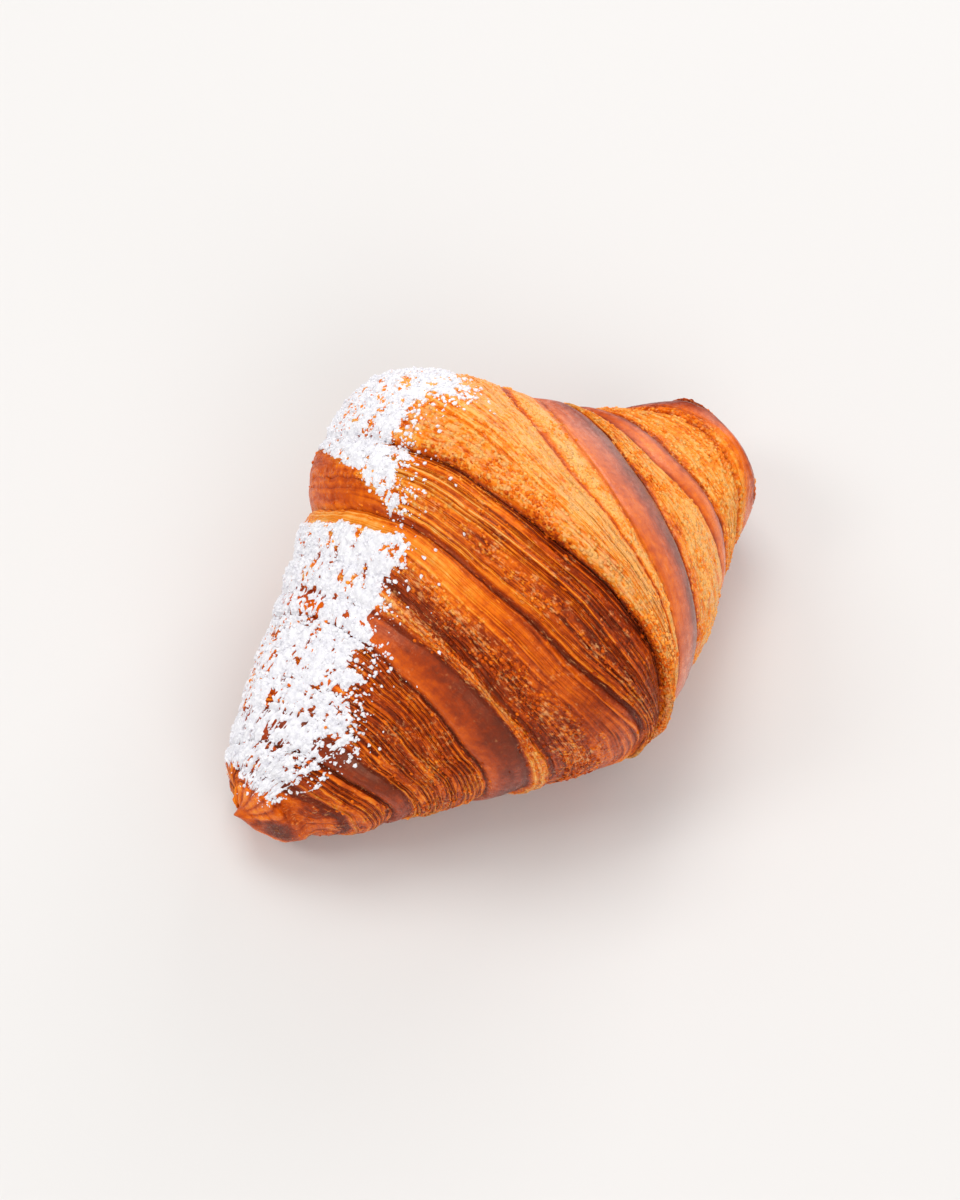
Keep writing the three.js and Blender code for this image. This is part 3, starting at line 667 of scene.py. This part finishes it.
# blisters: small domes packed in patches, more of them where the dough is bubbly
cells = add_node(
    crust_tree, "ShaderNodeTexVoronoi", {"feature": "SMOOTH_F1"}, Vector=place, Scale=880.0, Smoothness=0.2)
dome = mapped(crust_tree, cells.outputs["Distance"], 0.15, 0.6, 1.0, 0.0)
patchy = noise(crust_tree, place, 240.0, 3.0, 0.6)
dome_share = mapped(crust_tree, weighted(crust_tree, patchy, bubbles, 0.42), 0.58, 0.82)
domes = arithmetic(crust_tree, "MULTIPLY", dome, arithmetic(crust_tree, "MULTIPLY", dome_share, rough_share))

fleck_share = arithmetic(
    crust_tree, "MULTIPLY", rough_share, arithmetic(
        crust_tree, "ADD", 0.4, arithmetic(crust_tree, "MULTIPLY", bubbles, 0.6)))
tone = weighted(
    crust_tree, attribute(crust_tree, "brown"), streaks, mapped(crust_tree, gloss, 0.2, 1.0, 0.5, 0.3), 0.5)
tone = weighted(crust_tree, tone, blotches, mapped(crust_tree, gloss, 0.2, 1.0, 0.6, 0.4), 0.5)
tone = weighted(crust_tree, tone, flecks, arithmetic(crust_tree, "MULTIPLY", fleck_share, -0.34), 0.5)
tone = weighted(crust_tree, tone, fibres, arithmetic(crust_tree, "MULTIPLY", line_share, -0.35), 0.5)
tone = weighted(crust_tree, tone, mottle, 0.4, 0.5)
# painted shade: the hollows are painted darker, more on rough crust than on glossy skin
tone = weighted(
    crust_tree, tone, attribute(crust_tree, "hollow_shade"), mapped(crust_tree, gloss, 0.2, 1.0, 0.42, 0.1))
# painted shade darkens the gaps between the layers, and painted highlight lightens their crests
tone = weighted(crust_tree, tone, gaps, 0.3)
tone = weighted(crust_tree, tone, lips, -0.12)
# the blister domes are painted lighter: partly their paler dough, partly painted highlight on their tops
tone = weighted(crust_tree, tone, domes, -0.3)

# colours of butter pastry from bare dough to the darkest bake
BAKE_TONES = [
    (0.00, (0.98, 0.47, 0.12, 1)),
    (0.16, (0.96, 0.30, 0.022, 1)),
    (0.34, (0.84, 0.165, 0.004, 1)),
    (0.50, (0.60, 0.085, 0.002, 1)),
    (0.66, (0.36, 0.038, 0.002, 1)),
    (0.82, (0.19, 0.017, 0.002, 1)),
    (1.00, (0.12, 0.011, 0.002, 1)),
]


def baked_colour(tree, tone):
    """Crust colour for a bake tone from 0 to 1."""
    bake = add_node(tree, "ShaderNodeValToRGB", Fac=tone)
    while len(bake.color_ramp.elements) < len(BAKE_TONES):
        bake.color_ramp.elements.new(0.5)
    for element, (spot, colour) in zip(bake.color_ramp.elements, BAKE_TONES):
        element.position = spot
        element.color = colour
    return bake.outputs[0]


pale_edge = weighted(crust_tree, flecks, attribute(crust_tree, "cream"), 0.22)
pale_edge = weighted(crust_tree, pale_edge, patchy, 0.45, 0.5)
pale_share = arithmetic(
    crust_tree, "MULTIPLY", mapped(crust_tree, pale_edge, 0.6, 0.82, 0.0, 0.64), rough_share)
crust_colour = add_node(
    crust_tree, "ShaderNodeMix", {"data_type": "RGBA"}, i0=pale_share, i6=baked_colour(crust_tree, tone),
    i7=(0.98, 0.47, 0.18, 1))

# height of the fine relief in mm
relief = arithmetic(crust_tree, "MULTIPLY", domes, 0.42)
relief = weighted(crust_tree, relief, gaps, -0.22)
relief = weighted(crust_tree, relief, lips, 0.12)
relief = weighted(crust_tree, relief, flecks, arithmetic(crust_tree, "MULTIPLY", fleck_share, 0.36))
relief = weighted(crust_tree, relief, fibres, arithmetic(crust_tree, "MULTIPLY", line_share, 0.22))
relief = weighted(crust_tree, relief, pits, arithmetic(crust_tree, "MULTIPLY", rough_share, 0.11))
relief = weighted(crust_tree, relief, mottle, 0.1)
relief = weighted(crust_tree, relief, streaks, 0.3)
bump = add_node(crust_tree, "ShaderNodeBump", Strength=1.0, Distance=MM, Height=relief)
links = crust_tree.links
links.new(crust_colour.outputs[2], bsdf.inputs["Base Color"])
links.new(mapped(crust_tree, mottle, 0.35, 0.65, 0.2, 0.42), bsdf.inputs["Roughness"])
links.new(bump.outputs[0], bsdf.inputs["Normal"])
coat = arithmetic(
    crust_tree, "MULTIPLY", mapped(crust_tree, gloss, 0.6, 1.0, 0.0, 0.65),
    mapped(crust_tree, dryness, 0, 1, 1, 0))
links.new(coat, bsdf.inputs["Coat Weight"])
bsdf.inputs["Coat Roughness"].default_value = 0.34
sheen = arithmetic(
    crust_tree, "MULTIPLY", mapped(crust_tree, gloss, 0.2, 1.0, 0.3, 0.44),
    mapped(crust_tree, dryness, 0, 1, 1, 0.12))
links.new(sheen, bsdf.inputs["Specular IOR Level"])
bsdf.inputs["Specular Tint"].default_value = (1.0, 0.62, 0.36, 1)

croissant.data.materials.append(crust)
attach(croissant, "root")
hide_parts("croissant")

# Flakes and blisters of the crust: shreds of the outermost layer that tore and lifted as the dough
# rose, each lying along its layer, and small butter blisters packed in patches beside the seams.
# Each kind is one mesh of loose pieces half sunk in the crust.
def grain_scatter():
    """Node tree that scatters small uneven pieces over a mesh, each along the mesh's own grain."""
    tree = bpy.data.node_groups.new("grain_scatter", "GeometryNodeTree")
    tree.interface.new_socket("Geometry", in_out="INPUT", socket_type="NodeSocketGeometry")
    for name in ("Density", "Smallest", "Largest", "Length", "Height", "Turn", "Unevenness"):
        tree.interface.new_socket(name, in_out="INPUT", socket_type="NodeSocketFloat")
    tree.interface.new_socket("Seed", in_out="INPUT", socket_type="NodeSocketInt")
    tree.interface.new_socket("Material", in_out="INPUT", socket_type="NodeSocketMaterial")
    tree.interface.new_socket("Geometry", in_out="OUTPUT", socket_type="NodeSocketGeometry")
    given = tree.nodes.new("NodeGroupInput").outputs
    share = add_node(tree, "GeometryNodeInputNamedAttribute", {"data_type": "FLOAT"}, Name="share").outputs[0]
    way = add_node(
        tree, "GeometryNodeInputNamedAttribute", {"data_type": "FLOAT_VECTOR"}, Name="way").outputs[0]
    spots = add_node(
        tree, "GeometryNodeDistributePointsOnFaces", Mesh=given["Geometry"],
        Density=arithmetic(tree, "MULTIPLY", share, given["Density"]), Seed=given["Seed"])
    own = add_node(tree, "FunctionNodeRandomValue", {"data_type": "FLOAT"}, Seed=21).outputs[1]
    marked = add_node(
        tree, "GeometryNodeStoreNamedAttribute", {"data_type": "FLOAT"}, Geometry=spots.outputs["Points"],
        Name="own", Value=own).outputs[0]
    chance = add_node(tree, "FunctionNodeRandomValue", {"data_type": "FLOAT"}, Seed=22).outputs[1]
    size = add_node(
        tree, "ShaderNodeMapRange", Value=arithmetic(tree, "POWER", chance, 2.2),
        To_Min=given["Smallest"], To_Max=given["Largest"]).outputs[0]
    shape = add_node(tree, "ShaderNodeCombineXYZ", X=given["Length"], Y=1.0, Z=given["Height"]).outputs[0]
    scale = add_node(
        tree, "ShaderNodeVectorMath", {"operation": "SCALE"}, i0=shape, Scale=size).outputs[0]
    upright = add_node(
        tree, "FunctionNodeAlignRotationToVector", {"axis": "Z"}, Vector=spots.outputs["Normal"]).outputs[0]
    laid = add_node(
        tree, "FunctionNodeAlignRotationToVector", {"axis": "X", "pivot_axis": "Z"}, Rotation=upright,
        Vector=way).outputs[0]
    tilt = add_node(
        tree, "FunctionNodeRandomValue", {"data_type": "FLOAT_VECTOR"},
        i0=(-1, -1, -1), i1=(1, 1, 1), Seed=23)
    tilt = add_node(
        tree, "ShaderNodeVectorMath", {"operation": "SCALE"},
        i0=tilt.outputs[0], Scale=given["Turn"]).outputs[0]
    turned = add_node(
        tree, "FunctionNodeRotateRotation", {"rotation_space": "LOCAL"}, Rotation=laid, i1=tilt).outputs[0]
    grain_mesh = add_node(tree, "GeometryNodeMeshIcoSphere", Radius=1.0, Subdivisions=1).outputs["Mesh"]
    placed = add_node(
        tree, "GeometryNodeInstanceOnPoints",
        Points=marked, Instance=grain_mesh, Rotation=turned, Scale=scale)
    real = add_node(tree, "GeometryNodeRealizeInstances", Geometry=placed.outputs[0]).outputs[0]
    rough = add_node(tree, "ShaderNodeTexNoise", Scale=1400.0, Detail=1.0).outputs["Color"]
    shift = add_node(tree, "ShaderNodeVectorMath", {"operation": "SUBTRACT"}, i0=rough, i1=(0.5, 0.5, 0.5))
    shift = add_node(
        tree, "ShaderNodeVectorMath", {"operation": "SCALE"}, i0=shift.outputs[0], Scale=given["Unevenness"])
    moved = add_node(tree, "GeometryNodeSetPosition", Geometry=real, Offset=shift.outputs[0]).outputs[0]
    coated = add_node(tree, "GeometryNodeSetMaterial", Geometry=moved, Material=given["Material"]).outputs[0]
    tree.links.new(coated, tree.nodes.new("NodeGroupOutput").inputs["Geometry"])
    return tree


def scattered(name, tree, host, smooth, **values):
    """The pieces that a scatter tree lays over a host mesh, as a plain mesh object; the host goes."""
    modifier = host.modifiers.new("scatter", "NODES")
    modifier.node_group = tree
    for socket in tree.interface.items_tree:
        if socket.in_out == "INPUT" and socket.name in values:
            modifier[socket.identifier] = values[socket.name]
    evaluated = host.evaluated_get(bpy.context.evaluated_depsgraph_get())
    mesh = bpy.data.meshes.new_from_object(evaluated)
    mesh.name = name
    if smooth:
        mesh.shade_smooth()
    bpy.data.objects.remove(host)
    made = bpy.data.objects.new(name, mesh)
    bpy.context.scene.collection.objects.link(made)
    return made


flaked = bpy.data.materials.new("flaked_crust")
flaked.use_nodes = True
flaked_tree = flaked.node_tree
flaked_shader = flaked_tree.nodes["Principled BSDF"]
flaked_place = add_node(flaked_tree, "ShaderNodeTexCoord").outputs["Object"]
flaked_tone = weighted(flaked_tree, attribute(flaked_tree, "brown"), attribute(flaked_tree, "own"), 0.36, 0.7)
flaked_tone = weighted(flaked_tree, flaked_tone, noise(flaked_tree, flaked_place, 150.0, 4.0, 0.6), 0.9, 0.5)
flaked_grain = noise(flaked_tree, flaked_place, 1500.0, 3.0, 0.6)
flaked_tone = weighted(flaked_tree, flaked_tone, flaked_grain, 0.4, 0.5)
flaked_tree.links.new(baked_colour(flaked_tree, flaked_tone), flaked_shader.inputs["Base Color"])
flaked_bump = add_node(flaked_tree, "ShaderNodeBump", Strength=0.7, Distance=0.15 * MM, Height=flaked_grain)
flaked_tree.links.new(flaked_bump.outputs[0], flaked_shader.inputs["Normal"])
flaked_shader.inputs["Roughness"].default_value = 0.28
flaked_shader.inputs["Specular IOR Level"].default_value = 0.26
flaked_shader.inputs["Specular Tint"].default_value = (1.0, 0.66, 0.4, 1)

scatter_tree = grain_scatter()
layer_way = np.roll(crust_grid["place"], -1, axis=1) - np.roll(crust_grid["place"], 1, axis=1)
layer_way /= np.linalg.norm(layer_way, axis=-1, keepdims=True)
bare_share = relief_share(crust_grid["angle"]) * (1 - smooth_step(0.25, 0.8, crust_grid["gloss"]))
patches = grain(crust_grid["x"] / 3.5 + 70, crust_grid["angle"] / 360 * 40, 61, 40)


def crust_host(share):
    """A copy of the crust that carries a scatter's share, with its grain and its bake."""
    return mesh_object("host", crust_points, faces[:(rows - 1) * columns], {
        "share": share.ravel(), "way": layer_way.reshape(-1, 3), "brown": crust_grid["brown"].ravel()})


flake_share = bare_share * (0.1 + crust_grid["cream"]) * smooth_step(0.15, 0.65, patches)
flakes = scattered(
    "crust_flakes", scatter_tree, crust_host(flake_share), True, Density=0.4e6, Smallest=0.12 * MM,
    Largest=0.26 * MM, Length=4.0, Height=0.7, Turn=0.16, Unevenness=0.25 * MM, Seed=31, Material=flaked)
blister_share = bare_share * crust_grid["bubbles"] ** 2 * smooth_step(0.4, 0.75, patches)
blisters = scattered(
    "crust_blisters", scatter_tree, crust_host(blister_share), True, Density=2.2e6, Smallest=0.18 * MM,
    Largest=0.5 * MM, Length=1.2, Height=0.8, Turn=0.3, Unevenness=0.12 * MM, Seed=32, Material=flaked)
for piece in (flakes, blisters):
    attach(piece, "root")


# Icing sugar: powder sifted over the far left side after baking. It lies in soft crumbly clumps that
# nearly hide the crust there, and thins out to single crumbs towards the crown. The layer is one
# thin solid that follows the crust, and the clumps are loose crumbs scattered over it.
SUGAR_SPACING = 0.36
SUGAR_STRETCHES = 9
SUGAR_ANGLES = (-8, 134)
SUGAR_ARC = 106.0
SUGAR_THICKNESS = 0.75
SUGAR_SUNK = 0.35
POWDER_WEIGHT = 1.5
BARE_LEVEL = 1.12

# where the sugar thins out, seen from above: place along X and across
SUGAR_EDGE = np.array([
    (-67.0, 2.0),
    (-64.0, -7.7),
    (-61.6, -10.8),
    (-56.9, -13.9),
    (-52.7, -15.4),
    (-45.4, -15.8),
    (-41.9, -8.6),
    (-35.3, -5.1),
    (-31.0, -5.5),
    (-29.7, -1.3),
    (-25.8, -1.2),
    (-22.3, 0.0),
    (-17.7, 3.5),
    (-15.1, 9.2),
    (-13.0, 10.2),
    (-7.2, 13.7),
    (-2.5, 20.0),
    (6.2, 21.9),
    (12.3, 19.5),
    (16.0, 25.0),
    (18.5, 36.0),
    (21.0, 50.0),
])

seam_widths = [
    SEAMS[0]["at"][1] + HALF_LENGTH,
    *(SEAMS[k + 1]["at"][1] - SEAMS[k]["at"][1] for k in range(SUGAR_STRETCHES - 1)),
]
sugar_rows = [max(2, round(width / SUGAR_SPACING)) for width in seam_widths]
sugar_rows += [1] * (len(STRETCHES) - SUGAR_STRETCHES)
sugar_columns = round(SUGAR_ARC / SUGAR_SPACING)
sugar_grid = surface_grid(sugar_rows, np.linspace(*SUGAR_ANGLES, sugar_columns))
kept_rows = sum(sugar_rows[:SUGAR_STRETCHES]) + SUGAR_STRETCHES - 1
ground = sugar_grid["place"][:kept_rows]
sugar_x = sugar_grid["x"][:kept_rows]
sugar_angle = sugar_grid["angle"][:kept_rows]
rows_of_stretch = [n + (k > 0) for k, n in enumerate(sugar_rows[:SUGAR_STRETCHES])]
stretch_number = np.repeat(np.arange(SUGAR_STRETCHES), rows_of_stretch)

# outward normals, smoothed so that the powder bridges the fine layers
smooth_ground = blurred(ground, 3)
sugar_normals = np.cross(np.gradient(smooth_ground, axis=1), np.gradient(smooth_ground, axis=0))
sugar_normals /= np.linalg.norm(sugar_normals, axis=-1, keepdims=True)
if sugar_normals[kept_rows // 2, sugar_columns // 2, 2] < 0:
    sugar_normals = -sugar_normals


def plan_grain(cell, seed):
    """Noise over the sugared side in square cells of one size, from -1 to 1."""
    return 2 * grain(ground[..., 0] / cell + 90, (sugar_angle * 0.75) / cell, seed) - 1


inside = ground[..., 1] - np.interp(ground[..., 0], SUGAR_EDGE[:, 0], SUGAR_EDGE[:, 1])
inside = inside + 0.2 + 3.0 * plan_grain(5.0, 41) + 2.4 * plan_grain(2.2, 42)
low_edge = smooth_step(-1, 16, sugar_angle + 9 * plan_grain(6.0, 46) + 6 * plan_grain(2.4, 47))
thinned = smooth_step(-2.0, 4.0, inside) * smooth_step(-66, -62.5, sugar_x) * low_edge

# bare dough: the wall of the deep fold, and part of the fine layers near the left tip
fold_seam = sugar_x[np.argmax(stretch_number == FOLD_STRETCH)]
past_fold = sugar_x - fold_seam
past_wall = past_fold - fold_width(sugar_angle)
fold_wall = smooth_step(-4.2, -3.0, past_fold) * (1 - smooth_step(-0.6, 0.8, past_wall))
fold_wall = fold_wall * (1 - smooth_step(70, 84, sugar_angle))
thin_patch = np.exp(-((sugar_x + 50) / 6.5) ** 2) * (1 - smooth_step(36, 52, sugar_angle))
groove_depth = blurred(sugar_grid["height"], 2)[:kept_rows] - sugar_grid["height"][:kept_rows]
bare_grooves = np.clip(groove_depth / 0.12, 0, 1) * smooth_step(-22, -34, sugar_x)
past_crease = sugar_x - sugar_x[np.argmax(stretch_number == FOLD_STRETCH + 1)]
bare_flap = np.exp(-(((past_crease - 1) / 2.4) ** 2)) * smooth_step(50, 66, sugar_angle)
powder = thinned * (1 - fold_wall) - 0.3 * thin_patch - 0.16 * bare_grooves - 0.45 * bare_flap
clumpy = 0.38 * plan_grain(2.8, 43) + 0.5 * plan_grain(1.4, 44) + 0.42 * plan_grain(0.8, 45)
crown_share = 0.55 + 0.45 * smooth_step(30, 85, sugar_angle)
thickness = SUGAR_THICKNESS * crown_share * (POWDER_WEIGHT * powder + clumpy - BARE_LEVEL)

corner_thickness = np.stack([thickness[:-1, :-1], thickness[:-1, 1:], thickness[1:, 1:], thickness[1:, :-1]])
kept_cells = np.argwhere(corner_thickness.max(axis=0) > 0)
number = np.arange(ground[..., 0].size).reshape(thickness.shape)
r, c = kept_cells.T
top_faces = np.stack([number[r, c], number[r, c + 1], number[r + 1, c + 1], number[r + 1, c]], axis=1)
edges = np.concatenate([top_faces[:, [k, (k + 1) % 4]] for k in range(4)])
edge_keys = edges.min(axis=1) * number.size + edges.max(axis=1)
_, first, counts = np.unique(edge_keys, return_index=True, return_counts=True)
rim = edges[first[counts == 1]]
under = number.size
sugar_faces = np.concatenate([
    top_faces,
    top_faces[:, ::-1] + under,
    np.stack([rim[:, 1], rim[:, 0], rim[:, 0] + under, rim[:, 1] + under], axis=1),
])
top_points = ground + sugar_normals * np.maximum(thickness, -0.12)[..., None]
under_points = ground - sugar_normals * SUGAR_SUNK
sugar_points = np.concatenate([top_points.reshape(-1, 3), under_points.reshape(-1, 3)])
used, renumbered = np.unique(sugar_faces, return_inverse=True)
sugar_layer = mesh_object(
    "icing_sugar_layer", sugar_points[used], renumbered.reshape(sugar_faces.shape).tolist(), {})

sugar = bpy.data.materials.new("icing_sugar")
sugar.use_nodes = True
sugar_tree = sugar.node_tree
sugar_shader = sugar_tree.nodes["Principled BSDF"]
sugar_place = add_node(sugar_tree, "ShaderNodeTexCoord").outputs["Object"]
sugar_tone = noise(sugar_tree, sugar_place, 900.0, 3.0, 0.6)
sugar_ramp = add_node(sugar_tree, "ShaderNodeValToRGB", Fac=sugar_tone)
sugar_ramp.color_ramp.elements[0].position = 0.3
sugar_ramp.color_ramp.elements[0].color = (0.74, 0.735, 0.79, 1)
sugar_ramp.color_ramp.elements[1].position = 0.7
sugar_ramp.color_ramp.elements[1].color = (0.93, 0.925, 0.95, 1)
sugar_tree.links.new(sugar_ramp.outputs[0], sugar_shader.inputs["Base Color"])
sugar_grains = noise(sugar_tree, sugar_place, 3200.0, 2.0, 0.7)
sugar_bump = add_node(sugar_tree, "ShaderNodeBump", Strength=0.8, Distance=0.12 * MM, Height=sugar_grains)
sugar_tree.links.new(sugar_bump.outputs[0], sugar_shader.inputs["Normal"])
sugar_shader.inputs["Roughness"].default_value = 0.9
sugar_shader.inputs["Specular IOR Level"].default_value = 0.15

# loose clumps, thickest over the layer and thinning out to single crumbs beyond it
spread = np.clip(0.75 * powder * smooth_step(-1.5, 2.5, inside), 0, 1)
stray = (0.1 * np.exp(np.minimum(inside, 0) / 4) + 0.5 * np.exp(-np.abs(inside - 0.5) / 2)) * (1 - fold_wall)
stray = stray * smooth_step(-66, -63, sugar_x) * (0.1 + 0.9 * low_edge) * smooth_step(-8, 4, sugar_angle)
clump_share = np.clip(spread * smooth_step(-0.2, 0.15, thickness) + stray, 0, 1)
clump_cells = np.argwhere(clump_share[:-1, :-1] > 0.002)
r, c = clump_cells.T
clump_faces = np.stack([number[r, c], number[r, c + 1], number[r + 1, c + 1], number[r + 1, c]], axis=1)
clump_ground = ground + sugar_normals * (np.maximum(thickness, 0) * 0.6 + 0.05)[..., None]
clump_host = mesh_object(
    "sugar_ground", clump_ground.reshape(-1, 3), clump_faces.tolist(), {"share": clump_share.ravel()})

sugar_clumps = scattered(
    "icing_sugar_clumps", scatter_tree, clump_host, False, Density=2.9e6, Smallest=0.12 * MM,
    Largest=0.55 * MM, Length=1.0, Height=1.0, Turn=math.pi, Unevenness=1.0 * MM, Seed=33, Material=sugar)

sugar_layer.data.materials.append(sugar)
for piece in (sugar_layer, sugar_clumps):
    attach(piece, "root")
